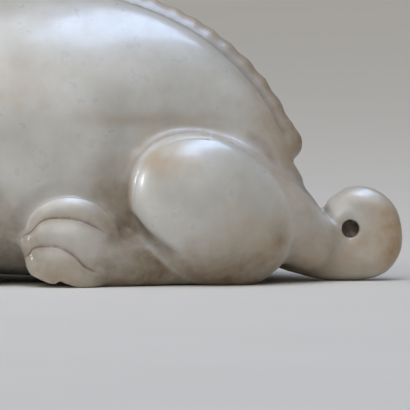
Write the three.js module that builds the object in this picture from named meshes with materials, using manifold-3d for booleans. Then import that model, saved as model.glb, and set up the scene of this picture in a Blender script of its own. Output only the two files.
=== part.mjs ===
// Qilin figurine: a recumbent mythical beast carved from one piece of pale nephrite jade.
// Units are millimetres. The beast lies along X, head towards -X and curled tail towards +X,
// rests on z = 0, and is the same on both sides of the plane y = 0. The origin is on the
// ground, under the middle of its box.
import * as THREE from "three";
import { LoftGeometry } from "three/addons/geometries/LoftGeometry.js";
import { mergeVertices } from "three/addons/utils/BufferGeometryUtils.js";
import Module from "manifold-3d";

const wasm = await Module();
wasm.setup();

// Barrel: an egg whose upper outline is the arch of the back.
const BARREL = { x: 3, z: 10.8, rear: 43, front: 45, rise: 39.4, halfWidth: 19 };
const BARREL_FULLNESS = 2.4; // exponent of the flank's section, where 2 is a plain ellipse
const BELLY = { lift: 0.8, taper: 0.2 }; // clear of the ground, and narrower than the flank

// Crest: a low scalloped ridge along the spine, from the nape to a knob over the tail.
const CREST = { from: 131, to: 19.5, lobes: 19, radius: 2.5, notch: 0.6, sink: 1.1 };
const CREST_KNOB = { angle: 19.5, radius: 2.7, sink: 1.2 };

// Haunch and shoulder: tilted ovals that swell out of the flank to a low crown. The lean turns
// the upper end of the long axis outwards and the lower end in.
const HAUNCH = { x: 29.8, z: 12.5, long: 15.3, short: 12.2, tilt: 140, crown: 22.2, lean: 0.2 };
const SHOULDER = { x: -20, z: 16, long: 15.5, short: 11.4, tilt: 112, crown: 21.4, lean: 0 };
// Each row is the depth behind the crown, and the share of the oval at that depth.
const OVAL_PROFILE = [
  [17, 0.7], [12.5, 0.92], [8.6, 1], [5.8, 0.965], [4.2, 0.885], [2.5, 0.74], [1.1, 0.5], [0.1, 0.16],
];
// The hollow that sets the haunch off from the flank: how deep it is, where its middle runs and
// how wide it is, in shares of the haunch's oval, and where it fades out towards the rump.
const MOAT = { depth: 2.6, share: 1.14, spread: 0.24, fade: [-0.1, 0.45] };

// Legs that lie on the ground: rows of x, y, z and radius.
const HIND_SHANK = [[29, 12, 3.2, 3.4], [20, 14.4, 3.8, 4.2], [11, 16, 4.6, 5.2]];
const FOREARM = [[-11, 15.4, 5.4, 5.2], [-24, 15, 4.4, 4.6], [-36, 13.4, 4.6, 4.4], [-47, 12, 5, 4.6]];

// The flesh that runs from the haunch into the root of the tail.
const HIP = [[33, 10.5, 14.5, 8.4], [40.5, 8.6, 11.2, 7.2], [45.6, 4.6, 7.4, 5.4]];

// Paw: a fist of three nested shells, each lower and further out than the one above it.
const PAW_SHELLS = [
  { x: 6, z: 8, long: 8.5, short: 8, tilt: -12, crown: 21.2, lean: 0 },
  { x: 5.7, z: 5.9, long: 8.1, short: 6.3, tilt: -12, crown: 22.1, lean: 0 },
  { x: 5.2, z: 3.4, long: 7.1, short: 4.3, tilt: -12, crown: 22.7, lean: 0 },
];
// The first shell has the whole profile, and those on it only the rows of its outer face.
const SHELL_PROFILE = [
  [13.6, 0.25], [11.6, 0.62], [7.6, 0.94], [3.6, 1], [1.3, 0.88], [0.3, 0.52], [0, 0.12],
];
const SHELL_FACE = SHELL_PROFILE.slice(3);
const FORE_PAW_AWAY = [-57.2, -3.4]; // from the hind paw, along and across

// Tail: leaves the rump, runs down to the ground and curls over an eye, drilled from each side.
// Rows of x, z and radius.
const TAIL = [
  [36, 14.6, 9.2], [41.6, 9.4, 7.5], [46.6, 5.9, 5.6], [51, 4.3, 4.5], [54.7, 3.75, 3.9],
  [58.1, 5, 3.9], [58.7, 9, 3.75], [57.4, 12.2, 3.3], [54.4, 13.3, 3], [51.7, 12.2, 2.6],
];
const TAIL_EYE = { x: 53.5, z: 9, radius: 1.5, left: 0.9, drill: 10, facets: 14 };
const TAIL_WEB = { across: 5.2, thick: 4 }; // the stone that closes the curl round its eye

// Neck and chest: rows of x, y, z and radius, and a ball.
const NECK = [[-10, 0, 27, 16.5], [-23, 0, 30.5, 15.8], [-35, 0, 35, 14]];
const CHEST = { at: [-29.5, 0, 16.5], size: [15, 16, 16.5] };

// The head has its own frame: forward, sideways and up from the middle of the skull.
const HEAD = { x: -41.3, z: 35.5, nod: 9 };
// Rows of forward place, top, bottom and half width, from the nape to the tip of the nose.
const SKULL = [
  [-13, 5, -6, 7], [-9, 10.2, -10, 11.4], [-3, 12.4, -11.6, 13], [3, 11.2, -12, 12.6], [8, 7.4, -11.8, 10.8],
  [13, 5.4, -11.2, 9.7], [17.4, 6.6, -10, 9.2], [19.8, 4.4, -8.2, 7.4], [20.6, 1.6, -5.6, 4],
];
const SKULL_FULLNESS = 2.7;
// Balls on the head: place in its frame, and radii.
const EYE = { at: [5.6, 9.2, 5.4], size: [4, 3.8, 4] };
const NOSE_WING = { at: [17.4, 4.8, 4.2], size: [3.4, 3.2, 3] };
const NOSTRIL = { at: [20.4, 5, 3.8], size: [1.3, 1.3, 1.3] };
const JAW = { at: [-1.5, 9.6, -6.4], size: [6.4, 4.6, 5.6] };
const THROAT = { at: [8, 0, -12.5], size: [7, 6, 5] };
// Limbs on the head: rows of place in its frame, and radius.
const BROW = [[9.6, 5, 6.6, 1.6], [6, 8.2, 8, 2.3], [0, 11, 9.4, 2.1], [-4.5, 12, 7.6, 1.2]];
const EAR = [[-3.5, 11, 8, 2.2], [-8, 12.3, 9, 2.9], [-13, 12, 8, 2.5], [-17, 11, 6, 1.4]];
const HORN = [
  [2.5, 0, 10.6, 3], [-3, 0, 13.2, 2.9], [-10, 0, 12.6, 2.6], [-17, 0, 9.6, 2.2], [-22, 0, 7.2, 1.4],
];
const CHEEK = [[17.5, 6.4, 0.4, 1.8], [11, 9.6, -0.6, 2.2], [5, 12, 0.6, 2], [1.5, 13.2, 3.6, 1.1]];
const BEARD = [[15.5, 0, -9.6, 2.8], [11.5, 0, -13.6, 3], [6, 0, -16.6, 2.6], [1.5, 0, -17.6, 1.2]];
const LIP = [[3.5, 13.6, -1.6, 1], [9, 11, -4.6, 1], [15, 9.8, -4.4, 1], [20, 5, -3.6, 1], [21, 0, -3.4, 1]];
const EAR_THINNESS = 0.7;
const BEARD_SPREAD = 1.3;
// Lock of the mane: rows of place and radius, repeated upwards behind the jaw.
const LOCK = [[-4, 11, -11, 3.2], [-9.5, 14, -13.4, 3.7], [-15, 14.6, -13, 3], [-19, 13.6, -9, 1.2]];
const MANE = { locks: 3, step: 6.6 };

const JADE = { color: 0xc8c6bd, roughness: 0.32, metalness: 0 };
const UP = new THREE.Vector3(0, 0, 1);
const SIDES = [-1, 1];
const ROUND_END = [75, 38]; // degrees of the rings that round off the end of a limb
// Facets round and along each ball.
const FACETS = { barrel: [26, 22], chest: [14, 9], knob: [10, 6], web: [10, 6], onHead: [8, 5] };
const WELD = 1e-4; // points closer than this are one
const GROUND = { length: 400, width: 200, depth: 60 };

// A closed geometry as a solid whose faces point out.
function solid(geometry) {
  const bare = new THREE.BufferGeometry();
  bare.setAttribute("position", geometry.getAttribute("position"));
  bare.setIndex(geometry.index);
  const merged = mergeVertices(bare, WELD);
  const vertProperties = merged.getAttribute("position").array;
  const triVerts = new Uint32Array(merged.index.array);
  return new wasm.Manifold(new wasm.Mesh({ numProp: 3, vertProperties, triVerts }));
}

function fuse(solids) {
  return solids.reduce((whole, piece) => whole.add(piece));
}

function carve(whole, cuts) {
  return cuts.reduce((left, cut) => left.subtract(cut), whole);
}

function middleOf(ring) {
  return ring.reduce((sum, point) => sum.add(point), new THREE.Vector3()).divideScalar(ring.length);
}

// A solid skinned through rings of points. The rings are turned round where they wind the
// wrong way for the direction in which the loft runs.
function loft(sections) {
  const first = sections[0];
  const start = middleOf(first);
  const spoke = (i) => first[i].clone().sub(start);
  const quarter = Math.floor(first.length / 4);
  const winding = spoke(0).cross(spoke(quarter));
  const forward = winding.dot(middleOf(sections[1]).sub(start)) > 0;
  const rings = forward ? sections : sections.map((ring) => [...ring].reverse());
  return solid(new LoftGeometry(rings, { capStart: true, capEnd: true }));
}

function inward([, y]) {
  return new THREE.Vector3(0, y > 0 ? -1 : 1, 0);
}

// A unit ring, fuller than a circle where the exponent is over 2.
function unitRing(count, fullness = 2) {
  return Array.from({ length: count }, (_, i) => {
    const angle = (i / count) * 2 * Math.PI;
    const [c, s] = [Math.cos(angle), Math.sin(angle)];
    const swell = (Math.abs(c) ** fullness + Math.abs(s) ** fullness) ** (-1 / fullness);
    return [c * swell, s * swell];
  });
}

// A round limb along a smooth path through stops of x, y, z and radius, with rounded ends. Its
// rings start towards the middle plane, so that the limbs of the two sides mirror each other.
function limb(stops, { rings, sides, level = inward(stops[0]), spread = 1 }) {
  const path = new THREE.CatmullRomCurve3(stops.map(([x, y, z]) => new THREE.Vector3(x, y, z)));
  const girth = new THREE.SplineCurve(stops.map((stop, i) => new THREE.Vector2(i, stop[3])));
  const section = (t, lean) => {
    const tangent = path.getTangent(t);
    const side = level.clone().addScaledVector(tangent, -level.dot(tangent)).normalize();
    const rise = new THREE.Vector3().crossVectors(tangent, side);
    const radius = girth.getPoint(t).y;
    const centre = path.getPoint(t).addScaledVector(tangent, radius * Math.sin(lean));
    const reach = radius * Math.cos(lean);
    return unitRing(sides).map(([a, b]) => centre.clone()
      .addScaledVector(side, a * reach * spread)
      .addScaledVector(rise, b * reach));
  };
  const leans = ROUND_END.map(THREE.MathUtils.degToRad);
  return loft([
    ...leans.map((lean) => section(0, -lean)),
    ...Array.from({ length: rings + 1 }, (_, i) => section(i / rings, 0)),
    ...leans.reverse().map((lean) => section(1, lean)),
  ]);
}

function ball([x, y, z], [rx, ry, rz], facets) {
  return solid(new THREE.SphereGeometry(1, ...facets).scale(rx, ry, rz).translate(x, y, z));
}

function mirrored(stops, side) {
  return stops.map(([x, y, z, ...rest]) => [x, y * side, z, ...rest]);
}

// How deep the flank is hollowed out round the haunch, at a place seen from the side.
function hollowAt(x, z) {
  const turn = THREE.MathUtils.degToRad(HAUNCH.tilt);
  const [dx, dz] = [x - HAUNCH.x, z - HAUNCH.z];
  const a = (dx * Math.cos(turn) + dz * Math.sin(turn)) / HAUNCH.long;
  const b = (dz * Math.cos(turn) - dx * Math.sin(turn)) / HAUNCH.short;
  const share = Math.hypot(a, b);
  const fade = THREE.MathUtils.smoothstep(a / share, ...MOAT.fade);
  return MOAT.depth * fade * Math.exp(-(((share - MOAT.share) / MOAT.spread) ** 2));
}

// The barrel's reach from its middle, along one half of an axis.
function barrelReach(along, up) {
  return {
    length: along > 0 ? BARREL.rear : BARREL.front,
    height: up > 0 ? BARREL.rise : BARREL.z - BELLY.lift,
    narrow: 1 - BELLY.taper * Math.max(0, -up) ** 2,
  };
}

// A unit sphere pulled into the barrel, with its poles at the rump and the chest.
function barrel() {
  const geometry = new THREE.SphereGeometry(1, ...FACETS.barrel).rotateZ(Math.PI / 2);
  const position = geometry.getAttribute("position");
  for (let i = 0; i < position.count; i++) {
    const [along, across, up] = [position.getX(i), position.getY(i), position.getZ(i)];
    const reach = Math.hypot(across, up) || 1;
    const fullness = Math.abs(across / reach) ** BARREL_FULLNESS + Math.abs(up / reach) ** BARREL_FULLNESS;
    const swell = (fullness || 1) ** (-1 / BARREL_FULLNESS);
    const { length, height, narrow } = barrelReach(along, up * swell);
    const x = BARREL.x + along * length;
    const y = across * swell * BARREL.halfWidth * narrow;
    const z = BARREL.z + up * swell * height;
    position.setXYZ(i, x, y - Math.sign(y) * Math.min(Math.abs(y), hollowAt(x, z)), z);
  }
  return solid(geometry);
}

// The point of the back at an angle round the barrel's middle, sunk below the surface.
function backPoint(degrees, sink) {
  const angle = THREE.MathUtils.degToRad(degrees);
  const { length, height } = barrelReach(Math.cos(angle), Math.sin(angle));
  return [
    BARREL.x + (length - sink) * Math.cos(angle),
    0,
    BARREL.z + (height - sink) * Math.sin(angle),
  ];
}

// The crest has a ring in each notch and one on top of each lobe.
function crest() {
  const rings = CREST.lobes * 2;
  const stops = Array.from({ length: rings + 1 }, (_, i) => {
    const degrees = THREE.MathUtils.lerp(CREST.from, CREST.to, i / rings);
    const radius = i % 2 ? CREST.radius : CREST.radius - CREST.notch;
    return [...backPoint(degrees, CREST.sink), radius];
  });
  const { angle, radius, sink } = CREST_KNOB;
  const knob = ball(backPoint(angle, sink), [radius, radius, radius], FACETS.knob);
  return limb(stops, { rings, sides: 5 }).add(knob);
}

// A place on a tilted oval seen from the side, at shares of its long and short reach.
function onOval({ x, z, long, short, tilt }, a, b) {
  const turn = THREE.MathUtils.degToRad(tilt);
  return [
    x + a * long * Math.cos(turn) - b * short * Math.sin(turn),
    z + a * long * Math.sin(turn) + b * short * Math.cos(turn),
  ];
}

// An oval that swells out of the body, in rings from inside it up to the crown.
function swelling(oval, profile, facets, side) {
  return loft(profile.map(([depth, share]) => unitRing(facets).map(([a, b]) => {
    const [x, z] = onOval(oval, a * share, b * share);
    const outward = oval.crown - depth + oval.lean * oval.long * a * share;
    return new THREE.Vector3(x, side * outward, z);
  })));
}

function paw([along, across], side) {
  return fuse(PAW_SHELLS.map((shell, i) => {
    const moved = { ...shell, x: shell.x + along, crown: shell.crown + across };
    return swelling(moved, i ? SHELL_FACE : SHELL_PROFILE, 13, side);
  }));
}

// The tail with the eye of its curl, a blind bore on each side that leaves some stone between.
function tail() {
  const { x, z, radius, left, drill, facets } = TAIL_EYE;
  const body = limb(TAIL.map(([px, pz, r]) => [px, 0, pz, r]), { rings: 22, sides: 10 });
  const web = ball([x, 0, z], [TAIL_WEB.across, TAIL_WEB.thick, TAIL_WEB.across], FACETS.web);
  const bits = SIDES.map((side) => solid(
    new THREE.CylinderGeometry(radius, radius, drill, facets).translate(x, side * (left + drill / 2), z),
  ));
  return carve(body.add(web), bits);
}

// Turns stops in the head's own frame, forward, sideways and up, into the beast's frame.
function onHead(stops, side = 1) {
  const nod = THREE.MathUtils.degToRad(HEAD.nod);
  return stops.map(([forward, sideways, up, ...rest]) => [
    HEAD.x - forward * Math.cos(nod) - up * Math.sin(nod),
    sideways * side,
    HEAD.z - forward * Math.sin(nod) + up * Math.cos(nod),
    ...rest,
  ]);
}

function skull() {
  const columns = SKULL[0].map((_, column) => (
    new THREE.SplineCurve(SKULL.map((row, i) => new THREE.Vector2(i, row[column])))
  ));
  const ring = unitRing(16, SKULL_FULLNESS);
  const rings = 11;
  return loft(Array.from({ length: rings + 1 }, (_, i) => {
    const [forward, top, bottom, half] = columns.map((column) => column.getPoint(i / rings).y);
    const [middle, reach] = [(top + bottom) / 2, (top - bottom) / 2];
    const section = ring.map(([a, b]) => [forward, a * half, middle + b * reach]);
    return onHead(section).map((point) => new THREE.Vector3(...point));
  }));
}

function ballOnHead({ at, size }, side) {
  return ball(onHead([at], side)[0], size, FACETS.onHead);
}

function maneLock(index, side) {
  const raised = LOCK.map(([forward, sideways, up, r]) => [forward, sideways, up + MANE.step * index, r]);
  return limb(onHead(raised, side), { rings: 4, sides: 5 });
}

function head() {
  const oneSide = (side) => [
    ...[EYE, NOSE_WING, JAW].map((spec) => ballOnHead(spec, side)),
    limb(onHead(BROW, side), { rings: 4, sides: 5 }),
    limb(onHead(CHEEK, side), { rings: 4, sides: 5 }),
    limb(onHead(EAR, side), { rings: 5, sides: 6, spread: EAR_THINNESS }),
    ...Array.from({ length: MANE.locks }, (_, i) => maneLock(i, side)),
  ];
  const carved = fuse([
    skull(),
    ballOnHead(THROAT, 1),
    limb(onHead(HORN), { rings: 6, sides: 6 }),
    limb(onHead(BEARD), { rings: 4, sides: 6, spread: BEARD_SPREAD }),
    ...SIDES.flatMap(oneSide),
  ]);
  const mouthLine = [...onHead(LIP, -1), ...onHead(LIP, 1).reverse().slice(1)];
  const mouth = limb(mouthLine, { rings: 9, sides: 4, level: UP });
  return carve(carved, [mouth, ...SIDES.map((side) => ballOnHead(NOSTRIL, side))]);
}

// Everything below the ground is cut away, so the beast stands on flat soles.
function groundBlock() {
  const { length, width, depth } = GROUND;
  return solid(new THREE.BoxGeometry(length, width, depth).translate(0, 0, -depth / 2));
}

function carveBeast() {
  const limbs = SIDES.flatMap((side) => [
    swelling(HAUNCH, OVAL_PROFILE, 20, side),
    swelling(SHOULDER, OVAL_PROFILE, 16, side),
    limb(mirrored(HIND_SHANK, side), { rings: 4, sides: 8 }),
    limb(mirrored(HIP, side), { rings: 4, sides: 10 }),
    limb(mirrored(FOREARM, side), { rings: 6, sides: 9 }),
    paw([0, 0], side),
    paw(FORE_PAW_AWAY, side),
  ]);
  const whole = fuse([
    barrel(),
    limb(NECK, { rings: 4, sides: 14 }),
    ball(CHEST.at, CHEST.size, FACETS.chest),
    ...limbs,
    crest(),
    tail(),
    head(),
  ]);
  return whole.subtract(groundBlock());
}

function toGeometry(made) {
  const { vertProperties, triVerts } = made.getMesh();
  const geometry = new THREE.BufferGeometry();
  geometry.setAttribute("position", new THREE.BufferAttribute(new Float32Array(vertProperties), 3));
  geometry.setIndex(new THREE.BufferAttribute(new Uint32Array(triVerts), 1));
  geometry.computeVertexNormals();
  return geometry;
}

const qilin = new THREE.Mesh(toGeometry(carveBeast()), new THREE.MeshStandardMaterial(JADE));
qilin.name = "qilin";

const figurine = new THREE.Group();
figurine.add(qilin);

export default figurine;
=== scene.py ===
"""The looks of a qilin figurine, a recumbent mythical beast carved from one piece of pale nephrite.

The beast lies along X with its head towards -X and its curled tail towards +X, rests on z = 0 and
is alike on both sides of y = 0. The stone is roughed out, fused, smoothed and engraved in
millimetres, as the sizes in the classes are, and is brought to metres when the carving is done.
"""

from __future__ import annotations

import logging
import math
from collections.abc import Callable, Iterable, Sequence
from dataclasses import dataclass, replace
from enum import Enum

import bpy
import numpy as np
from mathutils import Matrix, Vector, noise
from mathutils.bvhtree import BVHTree

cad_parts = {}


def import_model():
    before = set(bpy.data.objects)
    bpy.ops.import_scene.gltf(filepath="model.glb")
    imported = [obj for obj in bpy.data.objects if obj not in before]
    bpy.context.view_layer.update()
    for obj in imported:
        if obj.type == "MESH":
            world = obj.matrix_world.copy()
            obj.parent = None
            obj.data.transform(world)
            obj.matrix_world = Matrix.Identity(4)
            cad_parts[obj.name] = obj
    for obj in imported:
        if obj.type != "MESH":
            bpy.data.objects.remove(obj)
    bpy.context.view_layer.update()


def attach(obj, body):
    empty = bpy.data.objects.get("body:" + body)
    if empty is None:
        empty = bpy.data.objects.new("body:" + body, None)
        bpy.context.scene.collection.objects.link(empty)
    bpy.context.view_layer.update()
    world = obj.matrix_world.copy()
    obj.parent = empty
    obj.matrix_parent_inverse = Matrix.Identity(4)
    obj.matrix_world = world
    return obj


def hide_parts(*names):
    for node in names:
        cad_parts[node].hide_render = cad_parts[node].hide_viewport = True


LOG = logging.getLogger("qilin")

Point = tuple[float, float, float]
Stop = tuple[float, float, float, float]  # a place and a radius
Spot = tuple[float, float]  # a place seen from the side, along and up
Range = tuple[float, float]  # where a soft change starts and where it ends

MM = 0.001
FULL_TURN = 2 * math.pi
HALO = 1.2  # how far the light stain spreads beside a cut
TINY = 1e-9  # keeps a length above nothing before it is divided by
RING_POINTS = 17  # places along a drawn ring
PIECE_NAME = "carved_qilin"
CAD_NODE = "qilin"
CAD_BODY = "root"


class Side(Enum):
    """The two flanks of the beast."""

    NEAR = -1
    FAR = 1


class Lay(Enum):
    """How a drawn line finds the stone."""

    FROM_SIDE = "straight in across the beast"
    NEAREST = "to the nearest stone"


class Cut(Enum):
    """What the chisel leaves along a line."""

    GROOVE = "a vee with soft lips"
    STEP = "a ledge that drops on the right of the line and eases back"


def smoothstep(low: float, high: float, value: np.ndarray) -> np.ndarray:
    """Eases from 0 at low to 1 at high.

    Args:
        low: Where the rise starts.
        high: Where the rise ends.
        value: The values to ease.

    Returns:
        The eased values.
    """
    share = np.clip((value - low) / (high - low), 0.0, 1.0)
    return share * share * (3.0 - 2.0 * share)


def spline_at(rows: np.ndarray, at: np.ndarray) -> np.ndarray:
    """Reads a smooth curve through rows of numbers.

    Args:
        rows: The rows that the curve passes through.
        at: Row numbers with fractions, from 0 to the last row.

    Returns:
        One row for each place asked for.
    """
    last = len(rows) - 1
    low = np.clip(np.floor(at).astype(int), 0, last - 1)
    t = (at - low)[:, None]
    before, start, end, after = (rows[np.clip(low + step, 0, last)] for step in (-1, 0, 1, 2))
    bend = 2 * before - 5 * start + 4 * end - after
    twist = 3 * start - before - 3 * end + after
    return start + 0.5 * ((end - before) * t + bend * t**2 + twist * t**3)


def get_coords(obj: bpy.types.Object) -> np.ndarray:
    """Reads an object's vertices.

    Args:
        obj: A mesh object.

    Returns:
        Rows of x, y and z.
    """
    flat = np.empty(len(obj.data.vertices) * 3)
    obj.data.vertices.foreach_get("co", flat)
    return flat.reshape(-1, 3)


def set_coords(obj: bpy.types.Object, coords: np.ndarray) -> None:
    """Moves an object's vertices to rows of x, y and z."""
    obj.data.vertices.foreach_set("co", coords.astype(np.float32).ravel())
    obj.data.update()


def get_normals(obj: bpy.types.Object) -> np.ndarray:
    """Reads an object's vertex normals.

    Args:
        obj: A mesh object.

    Returns:
        Rows of x, y and z.
    """
    flat = np.empty(len(obj.data.vertices) * 3, np.float32)
    obj.data.vertex_normals.foreach_get("vector", flat)
    return flat.reshape(-1, 3).astype(float)


def set_attribute(obj: bpy.types.Object, name: str, values: np.ndarray) -> None:
    """Stores one number for each vertex, for the finish to read."""
    attribute = obj.data.attributes.new(name, "FLOAT", "POINT")
    attribute.data.foreach_set("value", values.astype(np.float32))


def deselect_all() -> None:
    """Clears the selection, so that the next operator acts on new work alone."""
    bpy.ops.object.select_all(action="DESELECT")


def pick(objects: Iterable[bpy.types.Object]) -> bpy.types.Object:
    """Selects objects and makes the first one active.

    Args:
        objects: What to select.

    Returns:
        The active object.
    """
    deselect_all()
    chosen = list(objects)
    for obj in chosen:
        obj.select_set(True)
    bpy.context.view_layer.objects.active = chosen[0]
    return chosen[0]


def apply_place() -> None:
    """Moves the active object's place, turn and scale into its mesh."""
    bpy.ops.object.transform_apply(location=True, rotation=True, scale=True)


def join(objects: Sequence[bpy.types.Object]) -> bpy.types.Object:
    """Joins objects into the first one.

    Args:
        objects: What to join.

    Returns:
        The joined object.
    """
    joined = pick(objects)
    bpy.ops.object.join()
    return joined


def apply_modifier(obj: bpy.types.Object, kind: str, **settings: object) -> None:
    """Adds a modifier with its settings and applies it.

    Args:
        obj: The object to work on.
        kind: The modifier's type.
        settings: Its properties by name.
    """
    pick([obj])
    modifier = obj.modifiers.new(kind.lower(), kind)
    for name, value in settings.items():
        setattr(modifier, name, value)
    bpy.ops.object.modifier_apply(modifier=modifier.name)


def shaped_ball(shape: Callable[[np.ndarray], np.ndarray], segments: int = 64) -> bpy.types.Object:
    """Adds a unit ball and moves its vertices by a formula.

    Args:
        shape: Takes the unit ball's vertices as rows and gives their places.
        segments: How many segments the ball has round it.

    Returns:
        The new object.
    """
    deselect_all()
    bpy.ops.mesh.primitive_uv_sphere_add(segments=segments, ring_count=segments // 2, radius=1)
    obj = bpy.context.object
    set_coords(obj, shape(get_coords(obj)))
    return obj


@dataclass(frozen=True)
class Ball:
    """A rounded lump of stone.

    Attributes:
        at: Its middle.
        size: Its three radii.
    """

    at: Point
    size: Point

    SEGMENTS = 32
    RINGS = 20

    def rough_out(self) -> bpy.types.Object:
        """Adds the ball at its size and place.

        Returns:
            The ball.
        """
        deselect_all()
        bpy.ops.mesh.primitive_uv_sphere_add(
            segments=self.SEGMENTS, ring_count=self.RINGS, radius=1, location=self.at, scale=self.size
        )
        apply_place()
        return bpy.context.object


@dataclass(frozen=True)
class Limb:
    """A round limb along a smooth path, with round ends.

    Attributes:
        stops: Places along it, each with the radius there.
        flat: How thick it is across the beast, as a share of its height.
    """

    stops: tuple[Stop, ...]
    flat: float = 1.0

    STEPS = 8

    def tube(self) -> bpy.types.Object:
        """Draws the path, swells it to its radii and makes it a mesh.

        Returns:
            The tube, with flat ends.
        """
        deselect_all()
        bpy.ops.curve.primitive_bezier_curve_add(enter_editmode=False)
        obj = bpy.context.object
        curve = obj.data
        spline = curve.splines[0]
        spline.bezier_points.add(len(self.stops) - 2)
        for knot, stop in zip(spline.bezier_points, self.stops):
            knot.co = stop[:3]
            knot.radius = stop[3]
            knot.handle_left_type = knot.handle_right_type = "AUTO"
        spline.radius_interpolation = "CARDINAL"
        curve.bevel_depth = 1
        curve.bevel_resolution = self.STEPS
        curve.resolution_u = self.STEPS
        curve.use_fill_caps = True
        bpy.ops.object.convert(target="MESH")
        return bpy.context.object

    def rough_out(self) -> bpy.types.Object:
        """Makes the tube, rounds its ends and flattens it.

        Returns:
            The limb.
        """
        ends = [Ball(stop[:3], (stop[3],) * 3) for stop in (self.stops[0], self.stops[-1])]
        obj = join([self.tube(), *[end.rough_out() for end in ends]])
        bpy.ops.object.origin_set(type="ORIGIN_GEOMETRY")
        bpy.ops.transform.resize(value=(1, self.flat, 1))
        apply_place()
        return obj


def mirrored(stops: Sequence[tuple[float, ...]], side: Side) -> tuple[tuple[float, ...], ...]:
    """Turns places of the far side into places of either side."""
    return tuple((x, y * side.value, *rest) for x, y, *rest in stops)


@dataclass(frozen=True)
class Oval:
    """A tilted oval that swells out of the body to a crown.

    Attributes:
        x: Its middle, along.
        z: Its middle, up.
        long: Half its length.
        short: Half its breadth.
        tilt: Degrees from +X up to its long axis.
        crown: How far its crown is from the middle plane.
        dome: How far the dome rises from its rim to its crown.
        deep: How far it goes into the body behind its rim.
        lean: How far the end of the long axis turns outwards, for each step along it.
        fullness: Exponent of the dome's section, where 2 is an ellipse.
    """

    x: float
    z: float
    long: float
    short: float
    tilt: float
    crown: float
    dome: float
    deep: float = 10.0
    lean: float = 0.0
    fullness: float = 2.0

    ARC_POINTS = 13

    def spot(self, a: np.ndarray, b: np.ndarray) -> tuple[np.ndarray, np.ndarray]:
        """Gives the place at shares of the axes.

        Args:
            a: Share of the long axis.
            b: Share of the short axis.

        Returns:
            The place, along and up.
        """
        turn = math.radians(self.tilt)
        along = self.x + a * self.long * math.cos(turn) - b * self.short * math.sin(turn)
        up = self.z + a * self.long * math.sin(turn) + b * self.short * math.cos(turn)
        return along, up

    def shares(self, x: np.ndarray, z: np.ndarray) -> tuple[np.ndarray, np.ndarray]:
        """Gives the shares of the axes at a place.

        Args:
            x: The place, along.
            z: The place, up.

        Returns:
            The shares of the long and the short axis.
        """
        turn = math.radians(self.tilt)
        dx, dz = x - self.x, z - self.z
        a = (dx * math.cos(turn) + dz * math.sin(turn)) / self.long
        b = (dz * math.cos(turn) - dx * math.sin(turn)) / self.short
        return a, b

    def face_at(self, x: float, z: float) -> float:
        """Gives how far the dome is from the middle plane at a place seen from the side."""
        share = min(1.0, math.hypot(*self.shares(x, z)))
        return self.crown - self.dome + self.dome * (1.0 - share**self.fullness) ** (1.0 / self.fullness)

    def arc(self, share: float, start: float, end: float, side: Side) -> tuple[Point, ...]:
        """Draws a line round the oval.

        Args:
            share: Its distance from the middle, as a share of the oval.
            start: Degrees from the long axis where it starts.
            end: Degrees from the long axis where it ends.
            side: The flank that it is on.

        Returns:
            Places along the line, at the height of the crown.
        """
        turns = np.radians(np.linspace(start, end, self.ARC_POINTS))
        x, z = self.spot(share * np.cos(turns), share * np.sin(turns))
        return tuple((float(px), self.crown * side.value, float(pz)) for px, pz in zip(x, z))

    def rough_out(self, side: Side) -> bpy.types.Object:
        """Shapes a ball into the oval.

        Args:
            side: The flank that it is on.

        Returns:
            The oval.
        """

        def shape(unit: np.ndarray) -> np.ndarray:
            """Moves the unit ball's vertices onto the oval.

            Args:
                unit: Rows of the ball's vertices.

            Returns:
                Rows of places.
            """
            a, out, b = unit.T
            share = np.clip(np.hypot(a, b), 0.0, 1.0)
            rise = (1.0 - share**self.fullness) ** (1.0 / self.fullness)
            y = self.crown - self.dome + np.where(out > 0, self.dome * rise, self.deep * out)
            x, z = self.spot(a, b)
            return np.column_stack([x, side.value * (y + self.lean * self.long * a), z])

        return shaped_ball(shape)


@dataclass(frozen=True)
class Stroke:
    """A line that the chisel follows.

    Attributes:
        path: Places along the line, near the surface.
        width: Half the width of the cut.
        depth: How deep it goes.
        cut: What it leaves.
        lay: How the line finds the stone.
        ease: How far beside the line a ledge takes to ease back.
        umber: How much dark stain stays in it, from 0 to 1.
        fade: Shares of the line over which it runs in and out.
        passes: How many times the mesh is made finer under it.
    """

    path: tuple[Point, ...]
    width: float = 0.5
    depth: float = 0.35
    cut: Cut = Cut.GROOVE
    lay: Lay = Lay.FROM_SIDE
    ease: float = 0.0
    umber: float = 0.6
    fade: tuple[float, float] = (0.2, 0.2)
    passes: int = 2

    SPACING = 0.25
    FEWEST_PLACES = 6
    CAST_FROM = 80.0

    @property
    def reach(self) -> float:
        """How far from the line the stone is moved."""
        return max(self.width, self.ease)

    def laid_on(self, stone: BVHTree) -> "LaidStroke":
        """Lays the line on the stone.

        Args:
            stone: The surface, as a tree for casting on.

        Returns:
            The line on the surface.
        """
        rows = np.array(self.path, float)
        length = np.linalg.norm(np.diff(rows, axis=0), axis=1).sum()
        count = max(self.FEWEST_PLACES, int(length / self.SPACING))
        drawn = spline_at(rows, np.linspace(0, len(rows) - 1, count))
        places, normals = [], []
        for x, y, z in drawn:
            if self.lay is Lay.FROM_SIDE:
                out = math.copysign(1.0, y)
                start = Vector((x, out * self.CAST_FROM, z))
                place, normal, *_ = stone.ray_cast(start, Vector((0, -out, 0)))
            else:
                place, normal, *_ = stone.find_nearest(Vector((x, y, z)))
            if place is not None:
                places.append(place)
                normals.append(normal)
        return LaidStroke(self, np.array(places), np.array(normals))


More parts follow.
